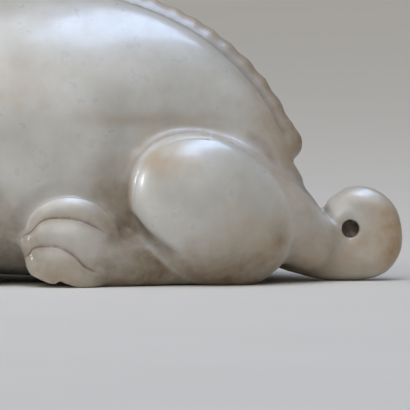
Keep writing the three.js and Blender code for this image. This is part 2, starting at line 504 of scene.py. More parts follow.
@dataclass(frozen=True)
class LaidStroke:
    """A stroke on the stone, as places a short step apart.

    Attributes:
        stroke: The line that was drawn.
        places: Rows of places on the surface.
        normals: The surface's normal at each place.
    """

    stroke: Stroke
    places: np.ndarray
    normals: np.ndarray

    # Where the dark stain starts to thin out and where it ends, as shares of the cut's half width.
    DARK = (0.2, 1.6)
    # How strong the light stain beside the cut is, as a share of the dark one.
    LIGHT = 0.7

    def near(self, points: np.ndarray, reach: float) -> np.ndarray:
        """Finds which points lie within a box round the line.

        Args:
            points: Rows of places.
            reach: How far the box stands out from the line.

        Returns:
            The indices of those points.
        """
        low = self.places.min(axis=0) - reach
        high = self.places.max(axis=0) + reach
        return np.flatnonzero(((points > low) & (points < high)).all(axis=1))

    def measure(self, points: np.ndarray) -> tuple[np.ndarray, np.ndarray, np.ndarray]:
        """Measures points from the line.

        Args:
            points: Rows of places.

        Returns:
            Each point's distance, its offset to the right of the line, and how far along it is.
        """
        gaps = points[:, None, :] - self.places[None, :, :]
        spans = np.linalg.norm(gaps, axis=2)
        nearest = spans.argmin(axis=1)
        rows = np.arange(len(points))
        tangents = np.gradient(self.places, axis=0)
        right = np.cross(tangents, self.normals)
        right /= np.linalg.norm(right, axis=1)[:, None] + TINY
        offset = (gaps[rows, nearest] * right[nearest]).sum(axis=1)
        return spans[rows, nearest], offset, nearest / max(1, len(self.places) - 1)

    def strength(self, along: np.ndarray) -> np.ndarray:
        """Tells how fully the cut is made.

        Args:
            along: Shares of the line's length.

        Returns:
            From 0 to 1 for each share.
        """
        run_in, run_out = self.stroke.fade
        full = np.ones_like(along)
        if run_in > 0:
            full = full * smoothstep(0.0, run_in, along)
        if run_out > 0:
            full = full * smoothstep(0.0, run_out, 1.0 - along)
        return full

    def depth_at(self, points: np.ndarray) -> np.ndarray:
        """Tells how deep the stone is cut.

        Args:
            points: Rows of places.

        Returns:
            The depth at each place.
        """
        stroke = self.stroke
        span, offset, along = self.measure(points)
        if stroke.cut is Cut.GROOVE:
            share = 1.0 - smoothstep(0.0, stroke.width, span)
        else:
            drop = smoothstep(-stroke.width, stroke.width, offset)
            share = drop * (1.0 - smoothstep(0.0, stroke.ease, span))
        return stroke.depth * share * self.strength(along)

    def stain_at(self, points: np.ndarray) -> tuple[np.ndarray, np.ndarray]:
        """Tells how much stain the cut holds.

        Args:
            points: Rows of places.

        Returns:
            The dark stain at each place, and the light stain round it.
        """
        span, _, along = self.measure(points)
        full = self.stroke.umber * np.sqrt(self.strength(along))
        start, end = (share * self.stroke.width for share in self.DARK)
        dark = 1.0 - smoothstep(start, end, span)
        light = 1.0 - smoothstep(0.0, self.stroke.width + HALO, span)
        return full * dark, self.LIGHT * full * light


@dataclass(frozen=True)
class Torso:
    """The barrel with the neck, the chest and the crest along the spine."""

    x: float = 3.0
    z: float = 10.8
    rear: float = 43.0
    front: float = 45.0
    rise: float = 39.4
    half_width: float = 19.0
    fullness: float = 2.4
    belly_lift: float = 0.8
    belly_taper: float = 0.2
    neck: tuple[Stop, ...] = ((-10, 0, 27, 16.5), (-23, 0, 30.5, 15.8), (-35, 0, 35, 14))
    chest: Ball = Ball((-29.5, 0, 16.5), (15, 16, 16.5))
    crest_angles: tuple[float, float] = (19.5, 131.0)
    crest_radius: float = 3.8
    crest_notch: float = 0.38
    crest_sink: float = 2.4
    crest_foot: float = 3.9
    # Lobes from the knob up, where the spacing is uneven, and the spacing of the rest.
    lobe_lengths: tuple[float, ...] = (4.6, 4.4, 4.1, 4.4, 3.9, 3.6, 3.2)
    lobe_length: float = 4.2
    knob_radius: float = 3.0
    knob_sink: float = 1.2
    # The hollow round the haunch: its depth, where it is deepest as a share of the haunch, how far
    # it spreads, and where it runs out behind.
    moat_depth: float = 2.6
    moat_share: float = 1.14
    moat_spread: float = 0.24
    moat_fade: Range = (-0.1, 0.45)
    # The flank's lower edge above the haunch, seen from the side.
    flank_edge: tuple[Spot, ...] = (
        (6, 29.0), (11.5, 28.9), (17, 28.6), (22.5, 28.2), (28, 27.6), (34, 26.8),
    )
    foot_sink: float = 0.3

    SEGMENTS = 160
    SPINE_POINTS = 400
    FOOT_POINTS = 20

    def reach(self, along: np.ndarray, up: np.ndarray) -> tuple[np.ndarray, np.ndarray]:
        """Gives how far the barrel reaches.

        Args:
            along: How far behind its middle, below 0 in front of it.
            up: How far above its middle.

        Returns:
            The half length and the half height on that side.
        """
        length = np.where(along > 0, self.rear, self.front)
        height = np.where(up > 0, self.rise, self.z - self.belly_lift)
        return length, height

    def hollow(self, haunch: Oval, x: np.ndarray, z: np.ndarray) -> np.ndarray:
        """Tells how deep the flank is hollowed out in front of the haunch and above it.

        Args:
            haunch: The oval that it is hollowed out round.
            x: Places along.
            z: Places up.

        Returns:
            The depth at each place.
        """
        a, b = haunch.shares(x, z)
        share = np.hypot(a, b) + TINY
        fade = smoothstep(*self.moat_fade, a / share)
        return self.moat_depth * fade * np.exp(-(((share - self.moat_share) / self.moat_spread) ** 2))

    def back_share(self, x: np.ndarray, z: np.ndarray) -> np.ndarray:
        """Tells how far out from the barrel's middle places are, seen from the side.

        Args:
            x: Places along.
            z: Places up.

        Returns:
            Shares of the barrel's reach, which are 1 on the back, and 0 below the middle.
        """
        along, up = x - self.x, z - self.z
        length, height = self.reach(along, up)
        return np.hypot(along / length, up / height) * (up > 0)

    def barrel(self, haunch: Oval) -> bpy.types.Object:
        """Shapes a ball into the barrel.

        Args:
            haunch: The oval that the flank is hollowed out round.

        Returns:
            The barrel.
        """

        def shape(unit: np.ndarray) -> np.ndarray:
            """Moves the unit ball's vertices onto the barrel.

            Args:
                unit: Rows of the ball's vertices.

            Returns:
                Rows of places.
            """
            along, across, up = unit.T
            span = np.hypot(across, up) + TINY
            full = np.abs(across / span) ** self.fullness + np.abs(up / span) ** self.fullness
            swell = full ** (-1.0 / self.fullness)
            up = up * swell
            length, height = self.reach(along, up)
            narrow = 1.0 - self.belly_taper * np.maximum(0.0, -up) ** 2
            x = self.x + along * length
            y = across * swell * self.half_width * narrow
            z = self.z + up * height
            inset = np.minimum(np.abs(y), self.hollow(haunch, x, z))
            return np.column_stack([x, y - np.sign(y) * inset, z])

        return shaped_ball(shape, self.SEGMENTS)

    def back_point(self, degrees: np.ndarray, sink: float) -> np.ndarray:
        """Gives places along the spine.

        Args:
            degrees: Angles round the barrel's middle, from the rump up.
            sink: How far below the back.

        Returns:
            Rows of x, y and z.
        """
        angle = np.radians(degrees)
        c, s = np.cos(angle), np.sin(angle)
        length, height = self.reach(c, s)
        return np.column_stack([self.x + (length - sink) * c, 0 * c, self.z + (height - sink) * s])

    def crest_stops(self) -> tuple[Stop, ...]:
        """Gives the crest's stops.

        Returns:
            One stop in each notch and one on top of each lobe.
        """
        angles = np.linspace(*self.crest_angles, self.SPINE_POINTS)
        steps = np.linalg.norm(np.diff(self.back_point(angles, 0.0), axis=0), axis=1)
        run = np.concatenate([[0.0], np.cumsum(steps)])
        rest = int((run[-1] - sum(self.lobe_lengths)) / self.lobe_length)
        lobes = [*self.lobe_lengths, *[self.lobe_length] * rest]
        notches = np.concatenate([[0.0], np.cumsum(lobes)])
        at = np.sort(np.concatenate([notches, (notches[:-1] + notches[1:]) / 2]))
        rows = self.back_point(np.interp(at, run, angles), self.crest_sink)
        radii = self.crest_radius - self.crest_notch * (np.arange(len(at)) % 2 == 0)
        return tuple((*map(float, row), float(radius)) for row, radius in zip(rows, radii))

    def rough_out(self, haunch: Oval) -> list[bpy.types.Object]:
        """Makes the torso's rough forms.

        Args:
            haunch: The oval that the flank is hollowed out round.

        Returns:
            One object for each form.
        """
        knob_at = self.back_point(np.array(self.crest_angles[:1]), self.knob_sink)[0]
        knob = Ball(tuple(map(float, knob_at)), (self.knob_radius,) * 3)
        return [
            self.barrel(haunch),
            Limb(self.neck).rough_out(),
            self.chest.rough_out(),
            Limb(self.crest_stops()).rough_out(),
            knob.rough_out(),
        ]

    def strokes(self) -> list[Stroke]:
        """Draws the flank's lower edge above the haunch and the foot of the crest.

        Returns:
            The lines of both flanks.
        """
        edge = Stroke((), width=0.7, depth=0.18, cut=Cut.STEP, ease=4.0, umber=0, passes=0)
        foot = Stroke((), width=1.1, depth=0.45, lay=Lay.NEAREST, umber=0.3, fade=(0.04, 0.04), passes=0)
        spine = self.back_point(np.linspace(*self.crest_angles, self.FOOT_POINTS), self.foot_sink)
        lines = []
        for side in Side:
            path = tuple((x, self.half_width * side.value, z) for x, z in self.flank_edge)
            lines.append(replace(edge, path=path if side is Side.NEAR else path[::-1]))
            beside = tuple((float(x), self.crest_foot * side.value, float(z)) for x, _, z in spine)
            lines.append(replace(foot, path=beside))
        return lines


@dataclass(frozen=True)
class Legs:
    """The haunches, shoulders, shanks, forearms and paws."""

    haunch: Oval = Oval(29.8, 12.5, 15.3, 12.2, 140, 22.2, 8.6, lean=0.2)
    shoulder: Oval = Oval(-20, 16, 15.5, 11.4, 112, 21.4, 8.6)
    shank: tuple[Stop, ...] = ((29, 12, 3.2, 3.4), (20, 14.4, 3.8, 4.2), (11, 16, 4.6, 5.2))
    # The flesh that runs from the haunch into the root of the tail.
    hip: tuple[Stop, ...] = ((33, 10.5, 14.5, 8.4), (40.5, 8.6, 11.2, 7.2), (45.6, 4.6, 7.4, 5.4))
    forearm: tuple[Stop, ...] = (
        (-11, 15.4, 5.4, 5.2), (-24, 15, 4.4, 4.6), (-36, 13.4, 4.6, 4.4), (-47, 12, 5, 4.6),
    )
    # The fist's three toes, each lower and further out than the one above it.
    toes: tuple[Oval, ...] = (
        Oval(6, 8, 8.5, 8, -12, 21.2, 3.6, fullness=2.5),
        Oval(5.7, 5.9, 8.1, 6.3, -12, 22.1, 3.6, fullness=2.5),
        Oval(5.2, 3.4, 7.1, 4.3, -12, 22.7, 3.6, fullness=2.5),
    )
    fore_paw_along: float = -57.2
    fore_paw_across: float = -3.4
    # The two lines between the toes, seen from the side.
    toe_lines: tuple[tuple[Spot, ...], ...] = (
        ((-1.2, 9.2), (0.9, 11.2), (3.1, 11.8), (6.5, 11.6), (9.9, 10.4), (12.5, 8.7)),
        (
            (-1.6, 5.4), (-0.2, 6.8), (2.3, 7.0), (4.0, 6.8), (6.5, 5.5), (8.2, 3.8), (10, 2.8),
            (11.6, 2.4),
        ),
    )
    # The same lines carried round the front of the paw: along, behind the crown, and up.
    toe_fronts: tuple[tuple[Point, ...], ...] = (
        ((0.8, 12.8, 6.2), (-1.3, 9.8, 7.2), (-2.1, 6, 8.2)),
        ((0.4, 12.4, 2.6), (-1.7, 9.6, 3.4), (-2.4, 6, 4.6)),
    )
    # The edge of the paw against the flank, seen from the side.
    paw_edge: tuple[Spot, ...] = (
        (-2.2, 7), (-1.9, 9.7), (-0.4, 12.8), (2.3, 14.7), (5.4, 15.4), (8.5, 15), (11.2, 13.6),
        (13.2, 11.2), (14.5, 8.5),
    )
    # The edge of the sole, along and up: the claw, the nick behind it, and the pad.
    sole: tuple[Spot, ...] = (
        (-3, 3), (0.6, 1.5), (2.3, 0.7), (3.4, 0.7), (3.6, 1.4), (5, 0.8), (7.4, 0),
    )
    sole_out: Range = (11.0, 15.0)
    # The crease under the haunch, and the worn marks along its upper rear edge.
    under_haunch: tuple[Spot, ...] = ((15.9, 12.6), (18.4, 9.0), (21, 6.7), (23.5, 5.3), (25.5, 4.2))
    rear_mark: tuple[Spot, ...] = ((35.2, 25.5), (37.1, 24.5), (38.7, 23.3), (39.6, 21.9), (41, 19.8))
    rim_share: float = 0.935
    rim_turn: tuple[float, float] = (-62, 50)

    def paw_places(self) -> tuple[tuple[float, float], ...]:
        """How far each paw of a flank is moved from the hind paw, along and across."""
        return ((0.0, 0.0), (self.fore_paw_along, self.fore_paw_across))

    def paw(self, along: float, across: float, side: Side) -> list[bpy.types.Object]:
        """Makes a fist of toes.

        Args:
            along: How far it is moved along the beast.
            across: How far it is moved out.
            side: The flank that it is on.

        Returns:
            One object for each toe.
        """
        forms = []
        for toe in self.toes:
            moved = replace(toe, x=toe.x + along, crown=toe.crown + across)
            forms.append(moved.rough_out(side))
        return forms

    def rough_out(self) -> list[bpy.types.Object]:
        """Makes the rough forms of the legs of both flanks.

        Returns:
            One object for each form.
        """
        forms = []
        for side in Side:
            forms += [self.haunch.rough_out(side), self.shoulder.rough_out(side)]
            for stops in (self.shank, self.hip, self.forearm):
                forms.append(Limb(mirrored(stops, side)).rough_out())
            for along, across in self.paw_places():
                forms += self.paw(along, across, side)
        return forms

    def paw_strokes(self, side: Side) -> list[Stroke]:
        """Draws the lines between the toes on the paws of a flank, and the edge of the hind paw.

        Args:
            side: The flank.

        Returns:
            The lines.
        """
        fade = (0.1, 0.2)
        line = Stroke((), width=0.3, depth=0.25, lay=Lay.NEAREST, umber=0.85, fade=fade)
        ledge = replace(line, width=0.25, depth=0.3, cut=Cut.STEP, ease=2.4, umber=0.0, fade=fade[::-1])
        outline = Stroke((), width=0.35, depth=0.8, cut=Cut.STEP, ease=3.5, umber=0.0, fade=(0.3, 0.15))
        lines = []
        crown = self.toes[-1].crown
        for along, across in self.paw_places():
            for spots, fronts in zip(self.toe_lines, self.toe_fronts):
                front = [(x, crown - behind, z) for x, behind, z in fronts[0 if along else -1 :]]
                face = [(x, max(toe.face_at(x, z) for toe in self.toes), z) for x, z in spots]
                path = mirrored([(x + along, y + across, z) for x, y, z in front + face], side)
                lines.append(replace(line, path=path))
                lines.append(replace(ledge, path=path[::-1] if side is Side.NEAR else path))
        y = side.value * crown
        edge = tuple((x, y, z) for x, z in self.paw_edge)
        lines.append(replace(outline, path=edge[::-1] if side is Side.NEAR else edge))
        return lines

    def sole_at(self, points: np.ndarray) -> np.ndarray:
        """Tells how high the soles of the paws are above the ground.

        Args:
            points: Rows of places.

        Returns:
            The height at each place.
        """
        x, y, _ = points.T
        lift = np.zeros(len(points))
        for along, across in self.paw_places():
            edge = np.interp(x - along, *np.array(self.sole).T, right=0.0)
            edge *= x - along > self.sole[0][0]
            lift = np.maximum(lift, edge * smoothstep(*self.sole_out, np.abs(y) - across))
        return lift

    def strokes(self) -> list[Stroke]:
        """Draws the lines on the legs.

        Returns:
            The lines of both flanks.
        """
        ledge = Stroke((), width=0.25, depth=0.3, cut=Cut.STEP, ease=1.3, umber=0.0, fade=(0.25, 0.2))
        crease = Stroke((), width=1.7, depth=0.65, umber=0.5, fade=(0.15, 0.6), passes=1)
        mark = Stroke((), width=1.3, depth=0.1, umber=0.3, passes=1)
        lines = []
        for side in Side:
            y = side.value * self.haunch.crown
            start, end = self.rim_turn[::-1] if side is Side.FAR else self.rim_turn
            for oval in (self.haunch, self.shoulder):
                lines.append(replace(ledge, path=oval.arc(self.rim_share, start, end, side)))
            for stroke, spots in ((crease, self.under_haunch), (mark, self.rear_mark)):
                lines.append(replace(stroke, path=tuple((x, y, z) for x, z in spots)))
            lines += self.paw_strokes(side)
        return lines


@dataclass(frozen=True)
class Tail:
    """The tail, which runs down to the ground and curls over a drilled eye."""

    stops: tuple[Stop, ...] = (
        (36, 0, 14.6, 9.2), (41.6, 0, 9.4, 7.5), (46.6, 0, 5.9, 5.6), (51, 0, 4.3, 4.5),
        (54.7, 0, 3.75, 3.9), (58.1, 0, 5, 3.9), (58.7, 0, 9, 3.75), (57.4, 0, 12.2, 3.3),
        (54.4, 0, 13.3, 3), (51.7, 0, 12.2, 2.6),
    )
    web: Ball = Ball((53.5, 0, 9), (5.2, 4, 5.2))
    eye_x: float = 53.5
    eye_z: float = 9.0
    eye_radius: float = 1.55
    # How far from the middle plane each bore stops, and how long the drill is.
    eye_left: float = 0.9
    drill: float = 10.0
    drill_sides: int = 48
    drill_voxel: float = 0.4
    # The bore's edge and its reach, as shares of its radius, and how far a wall faces its middle.
    eye_edge: Range = (0.96, 1.04)
    eye_reach: float = 1.25
    wall_facing: Range = (0.3, 0.7)
    # The straight line that the tail's upper side follows, from under the crest's knob to the curl,
    # and how the cut along it runs out at each end.
    upper_line: tuple[Spot, Spot] = ((42.9, 21.4), (49.1, 11.8))
    top_fade: Range = (-0.4, 0.5)
    end_fade: Range = (-1.6, -0.2)
    curl_crease: tuple[Spot, ...] = ((49.1, 12.1), (49.9, 11.1), (50.8, 10.1), (51.7, 9.3))
    rump_crease: tuple[Spot, ...] = ((42.6, 7.4), (43.6, 5.4), (42.4, 3.4), (40.6, 2.0))
    # How far from the middle plane the curl's and the rump's faces are.
    curl_face: float = 4.0
    rump_face: float = 12.0

    def rough_out(self) -> bpy.types.Object:
        """Makes the curled tail and drills its eye from each side.

        Returns:
            The tail.
        """
        tail = join([Limb(self.stops).rough_out(), self.web.rough_out()])
        apply_modifier(tail, "REMESH", mode="VOXEL", voxel_size=self.drill_voxel)
        for side in Side:
            deselect_all()
            middle = side.value * (self.eye_left + self.drill / 2)
            bpy.ops.mesh.primitive_cylinder_add(
                vertices=self.drill_sides, radius=self.eye_radius, depth=self.drill,
                location=(self.eye_x, middle, self.eye_z), rotation=(math.pi / 2, 0, 0),
            )
            bit = bpy.context.object
            apply_modifier(tail, "BOOLEAN", operation="DIFFERENCE", object=bit, solver="EXACT")
            bpy.data.objects.remove(bit)
        return tail

    def shave(self, coords: np.ndarray) -> np.ndarray:
        """Cuts the rump back to the tail's straight upper line, so that the crest's knob stands proud.

        Args:
            coords: Rows of places on the stone.

        Returns:
            The places with the rump cut back.
        """
        (top_x, top_z), (end_x, end_z) = self.upper_line
        outward = np.array([top_z - end_z, 0.0, end_x - top_x])
        outward /= np.linalg.norm(outward)
        proud = np.maximum(0.0, (coords - np.array([top_x, 0.0, top_z])) @ outward)
        proud *= 1.0 - smoothstep(*self.top_fade, coords[:, 2] - top_z)
        proud *= 1.0 - smoothstep(*self.end_fade, coords[:, 0] - end_x)
        return coords - proud[:, None] * outward

    def eye_ring(self, radius: float) -> list[Spot]:
        """Draws a ring round the eye, seen from the side."""
        turns = np.linspace(0, FULL_TURN, RING_POINTS)
        return [(self.eye_x + radius * math.cos(t), self.eye_z + radius * math.sin(t)) for t in turns]

    def eye_depth(self, points: np.ndarray) -> np.ndarray:
        """How far points are inside the bore, from 0 to 1."""
        span = np.hypot(points[:, 0] - self.eye_x, points[:, 2] - self.eye_z)
        return 1.0 - smoothstep(*self.eye_edge, span / self.eye_radius)

    def ream(self, coords: np.ndarray, normals: np.ndarray) -> np.ndarray:
        """Trues the wall of the bore.

        Args:
            coords: Rows of places on the stone.
            normals: The stone's normals there.

        Returns:
            The places with the wall made round.
        """
        spokes = coords - np.array([self.eye_x, 0.0, self.eye_z])
        spokes[:, 1] = 0.0
        span = np.linalg.norm(spokes, axis=1) + TINY
        facing = np.abs((spokes * normals).sum(axis=1)) / span
        wall = smoothstep(*self.wall_facing, facing) * (span < self.eye_reach * self.eye_radius)
        return coords + spokes * (wall * (self.eye_radius / span - 1.0))[:, None]

    def strokes(self) -> list[Stroke]:
        """Draws the eye's mouth, the curl's end, and the crease where the tail leaves the haunch.

        Returns:
            The lines of both flanks.
        """
        mouth = Stroke((), width=0.6, depth=0.0, umber=0.0, fade=(0.0, 0.0))
        curl = Stroke((), width=1.1, depth=0.4, umber=0.35, fade=(0.0, 0.4), passes=1)
        rump = Stroke((), width=2.0, depth=0.35, umber=0.2, fade=(0.4, 0.4), passes=0)
        drawn = (
            (mouth, self.eye_ring(self.eye_radius), self.curl_face),
            (curl, self.curl_crease, self.curl_face),
            (rump, self.rump_crease, self.rump_face),
        )
        lines = []
        for side in Side:
            for stroke, spots, face in drawn:
                lines.append(replace(stroke, path=tuple((x, face * side.value, z) for x, z in spots)))
        return lines


@dataclass(frozen=True)
class Head:
    """The head, in a frame of its own: forward, sideways and up from the middle of the skull."""

    x: float = -41.3
    z: float = 35.5
    nod: float = 9.0
    # Forward place, top, bottom and half width, from the nape to the tip of the nose.
    skull: tuple[Stop, ...] = (
        (-13, 5, -6, 7), (-9, 10.2, -10, 11.4), (-3, 12.4, -11.6, 13), (3, 11.2, -12, 12.6),
        (8, 7.4, -11.8, 10.8), (13, 5.4, -11.2, 9.7), (17.4, 6.6, -10, 9.2), (19.8, 4.4, -8.2, 7.4),
        (20.6, 1.6, -5.6, 4),
    )
    skull_fullness: float = 2.7
    eye: Ball = Ball((5.6, 9.2, 5.4), (4, 3.8, 4))
    nose_wing: Ball = Ball((17.4, 4.8, 4.2), (3.4, 3.2, 3))
    jaw: Ball = Ball((-1.5, 9.6, -6.4), (6.4, 4.6, 5.6))
    throat: Ball = Ball((8, 0, -12.5), (7, 6, 5))
    nostril: Point = (20.4, 5, 3.8)
    brow: tuple[Stop, ...] = (
        (9.6, 5, 6.6, 1.6), (6, 8.2, 8, 2.3), (0, 11, 9.4, 2.1), (-4.5, 12, 7.6, 1.2),
    )
    cheek: tuple[Stop, ...] = (
        (17.5, 6.4, 0.4, 1.8), (11, 9.6, -0.6, 2.2), (5, 12, 0.6, 2), (1.5, 13.2, 3.6, 1.1),
    )
    ear: tuple[Stop, ...] = ((-3.5, 11, 8, 2.2), (-8, 12.3, 9, 2.9), (-13, 12, 8, 2.5), (-17, 11, 6, 1.4))
    ear_flat: float = 0.7
    horn: tuple[Stop, ...] = (
        (2.5, 0, 10.6, 3), (-3, 0, 13.2, 2.9), (-10, 0, 12.6, 2.6), (-17, 0, 9.6, 2.2), (-22, 0, 7.2, 1.4),
    )
    horn_rings: int = 6
    # Where the first and the last ring are, counted in stops, and how far a ring goes round the horn.
    ring_stops: Range = (0.8, 3.6)
    ring_turn: Range = (-30.0, 210.0)
    beard: tuple[Stop, ...] = (
        (15.5, 0, -9.6, 2.8), (11.5, 0, -13.6, 3), (6, 0, -16.6, 2.6), (1.5, 0, -17.6, 1.2),
    )
    beard_flat: float = 1.3
    lip: tuple[Point, ...] = (
        (3.5, 13.6, -1.6), (9, 11, -4.6), (15, 9.8, -4.4), (20, 5, -3.6), (21, 0, -3.4),
    )
    lock: tuple[Stop, ...] = (
        (-4, 11, -11, 3.2), (-9.5, 14, -13.4, 3.7), (-15, 14.6, -13, 3), (-19, 13.6, -9, 1.2),
    )
    locks: int = 3
    lock_step: float = 6.6
    # The eye's lid, half as long and half as high, how far it lies behind the eyeball, and the iris.
    lid_half: Spot = (3.6, 2.5)
    lid_behind: float = 1.3
    iris: float = 1.4
    nostril_run: Point = (-0.4, 0.3, 0.1)
    # Where the hairs lie, as shares of the radius: up on a lock and a brow, and across the beard.
    lock_hairs: tuple[float, ...] = (-0.38, 0.38)
    brow_hairs: tuple[float, ...] = (0.1, 0.75)
    brow_out: float = 0.8
    beard_hairs: tuple[float, ...] = (-0.9, 0.0, 0.9)
    beard_front: float = 0.6

    SEGMENTS = 96
    CAP = 0.1
    HORN_POINTS = 11

    def place(
        self, stops: Iterable[tuple[float, ...]], side: Side = Side.FAR
    ) -> tuple[tuple[float, ...], ...]:
        """Turns places in the head's frame into the beast's frame.

        Args:
            stops: Rows of forward, sideways, up, and anything after them.
            side: The side of the head.

        Returns:
            Rows of x, y, z, and what came after.
        """
        c, s = math.cos(math.radians(self.nod)), math.sin(math.radians(self.nod))
        return tuple(
            (self.x - forward * c - up * s, sideways * side.value, self.z - forward * s + up * c, *rest)
            for forward, sideways, up, *rest in stops
        )

    def skull_form(self) -> bpy.types.Object:
        """Shapes a ball into the skull, ring by ring from the nape to the nose.

        Returns:
            The skull.
        """
        rows = np.array(self.skull, float)
        cap = self.CAP

        def shape(unit: np.ndarray) -> np.ndarray:
            """Moves the unit ball's vertices onto the skull.

            Args:
                unit: Rows of the ball's vertices.

            Returns:
                Rows of places.
            """
            forward, sideways, up = unit.T
            turn = np.arccos(np.clip(-forward, -1, 1)) / math.pi
            ends = np.maximum(0.0, np.abs(2 * turn - 1) - (1 - cap)) / cap
            at = np.clip((turn - cap / 2) / (1 - cap), 0, 1) * (len(rows) - 1)
            reach, top, bottom, half = spline_at(rows, at).T
            span = np.hypot(sideways, up) + TINY
            a, b = sideways / span, up / span
            full = np.abs(a) ** self.skull_fullness + np.abs(b) ** self.skull_fullness
            swell = full ** (-1 / self.skull_fullness) * np.sqrt(np.maximum(0.0, 1 - ends**2))
            high = (top + bottom) / 2 + b * swell * (top - bottom) / 2
            placed = self.place(np.column_stack([reach, a * swell * half, high]))
            return np.array(placed)

        return shaped_ball(shape, self.SEGMENTS)

    def ball(self, form: Ball, side: Side) -> bpy.types.Object:
        """Makes a ball at its place on the head."""
        return Ball(self.place([form.at], side)[0], form.size).rough_out()

    def raised_lock(self, index: int) -> tuple[Stop, ...]:
        """Gives the stops of one lock of the mane, counted from the lowest."""
        return tuple((f, s, up + self.lock_step * index, r) for f, s, up, r in self.lock)

    def rough_out(self) -> list[bpy.types.Object]:
        """Makes the rough forms of the head.

        Returns:
            One object for each form.
        """
        forms = [
            self.skull_form(),
            self.ball(self.throat, Side.FAR),
            Limb(self.place(self.horn)).rough_out(),
            Limb(self.place(self.beard), self.beard_flat).rough_out(),
        ]
        for side in Side:
            forms += [self.ball(form, side) for form in (self.eye, self.nose_wing, self.jaw)]
            forms += [Limb(self.place(stops, side)).rough_out() for stops in (self.brow, self.cheek)]
            forms.append(Limb(self.place(self.ear, side), self.ear_flat).rough_out())
            for index in range(self.locks):
                forms.append(Limb(self.place(self.raised_lock(index), side)).rough_out())
        return forms

    def line(self, path: Iterable[Point], side: Side, **cut: object) -> Stroke:
        """Draws one line on the head, laid on the nearest stone."""
        return Stroke(self.place(path, side), lay=Lay.NEAREST, **cut)

    def eye_ring(self, long: float, high: float, out: float) -> tuple[Point, ...]:
        """Draws a ring round the middle of the eye.

        Args:
            long: Half its length.
            high: Half its height.
            out: How far sideways it lies.

        Returns:
            Places along the ring, in the head's frame.
        """
        forward, _, up = self.eye.at
        turns = np.linspace(0, FULL_TURN, RING_POINTS)
        return tuple((forward + long * math.cos(t), out, up + high * math.sin(t)) for t in turns)

    def eye_strokes(self, side: Side) -> list[Stroke]:
        """Draws an eye's lid and iris, and the nostril on the same side.

        Args:
            side: The side of the head.

        Returns:
            The lines.
        """
        out = self.eye.at[1] + self.eye.size[1]
        lid = self.eye_ring(*self.lid_half, out - self.lid_behind)
        iris = self.eye_ring(self.iris, self.iris, out)
        hole = (self.nostril, tuple(np.add(self.nostril, self.nostril_run)))
        return [
            self.line(lid, side, width=0.45, depth=0.45, umber=0.5, fade=(0.0, 0.0)),
            self.line(iris, side, width=0.35, depth=0.25, umber=0.4, fade=(0.0, 0.0)),
            self.line(hole, side, width=1.5, depth=1.3, umber=0.7, fade=(0.0, 0.0)),
        ]

    def hair_strokes(self, side: Side) -> list[Stroke]:
        """Draws the hair of the mane and the brow, and the hollow of the ear.

        Args:
            side: The side of the head.

        Returns:
            The lines.
        """
        long_hair = {"width": 0.5, "depth": 0.4, "umber": 0.35, "fade": (0.15, 0.45), "passes": 1}
        lines = []
        for index in range(self.locks):
            for lift in self.lock_hairs:
                strand = tuple((f, s + r, up + lift * r) for f, s, up, r in self.raised_lock(index))
                lines.append(self.line(strand, side, **long_hair))
        ear = tuple((f, s + r, up) for f, s, up, r in self.ear[1:])
        lines.append(self.line(ear, side, width=1.5, depth=0.9, umber=0.3, passes=1))
        for lift in self.brow_hairs:
            strand = tuple((f, s + self.brow_out * r, up + lift * r) for f, s, up, r in self.brow)
            lines.append(self.line(strand, side, width=0.4, depth=0.3, umber=0.3, passes=1))
        return lines

    def strokes(self) -> list[Stroke]:
        """Draws the face, the mane, the beard and the rings of the horn.

        Returns:
            The lines of both sides.
        """
        mouth = Stroke((), width=0.9, depth=0.95, lay=Lay.NEAREST, umber=0.6, fade=(0.08, 0.08), passes=1)
        far, near = self.place(self.lip, Side.FAR), self.place(self.lip, Side.NEAR)
        lines = [replace(mouth, path=(*near, *far[-2::-1]))]
        for side in Side:
            lines += self.eye_strokes(side) + self.hair_strokes(side)
        out = self.beard_front
        for across in self.beard_hairs:
            strand = tuple((f + out * r, s + across * r, up - out * r) for f, s, up, r in self.beard)
            lines.append(self.line(strand, Side.FAR, width=0.5, depth=0.4, umber=0.35, passes=1))
        rows = np.array(self.horn, float)
        turns = np.radians(np.linspace(*self.ring_turn, self.HORN_POINTS))
        for at in np.linspace(*self.ring_stops, self.horn_rings):
            f, s, up, r = spline_at(rows, np.array([at]))[0]
            ring = tuple((f, s + r * math.cos(t), up + r * math.sin(t)) for t in turns)
            lines.append(self.line(ring, Side.FAR, width=0.5, depth=0.35, umber=0.3, passes=1))
        return lines


@dataclass(frozen=True)
class Patch:
    """A stain in the stone, or shade painted on a low part, seen from the side.

    Attributes:
        x: Its middle, along.
        z: Its middle, up.
        along: How far it spreads along.
        up: How far it spreads up.
        russet: How strong its light stain or light painted shade is, from 0 to 1.
        umber: How strong its dark stain or dark painted shade is, from 0 to 1.
        ragged: How far its edge wanders, as a share of its size.
    """

    x: float
    z: float
    along: float
    up: float
    russet: float
    umber: float = 0.0
    ragged: float = 0.2

    # Where a flank begins and is fully reached, from the middle plane, and where the stain ends.
    FLANK = (-1.0, 2.0)
    END = 1.6

    def at(self, points: np.ndarray, side: Side, wander: np.ndarray) -> np.ndarray:
        """How far the stain or painted shade reaches points of one flank.

        Args:
            points: Rows of places.
            side: The flank that it is on.
            wander: An uneven number for each point, round 0.

        Returns:
            From 0 to 1 for each point.
        """
        span = np.hypot((points[:, 0] - self.x) / self.along, (points[:, 2] - self.z) / self.up)
        facing = smoothstep(*self.FLANK, points[:, 1] * side.value)
        return facing * (1.0 - smoothstep(0.0, self.END, span + self.ragged * wander))


def linear(colour: str) -> tuple[float, float, float, float]:
    """Turns an sRGB hex colour into linear light.

    Args:
        colour: Six hex digits after a hash.

    Returns:
        Red, green, blue and a full alpha.
    """
    shares = [int(colour[i : i + 2], 16) / 255 for i in (1, 3, 5)]
    red, green, blue = (s / 12.92 if s <= 0.04045 else ((s + 0.055) / 1.055) ** 2.4 for s in shares)
    return red, green, blue, 1.0


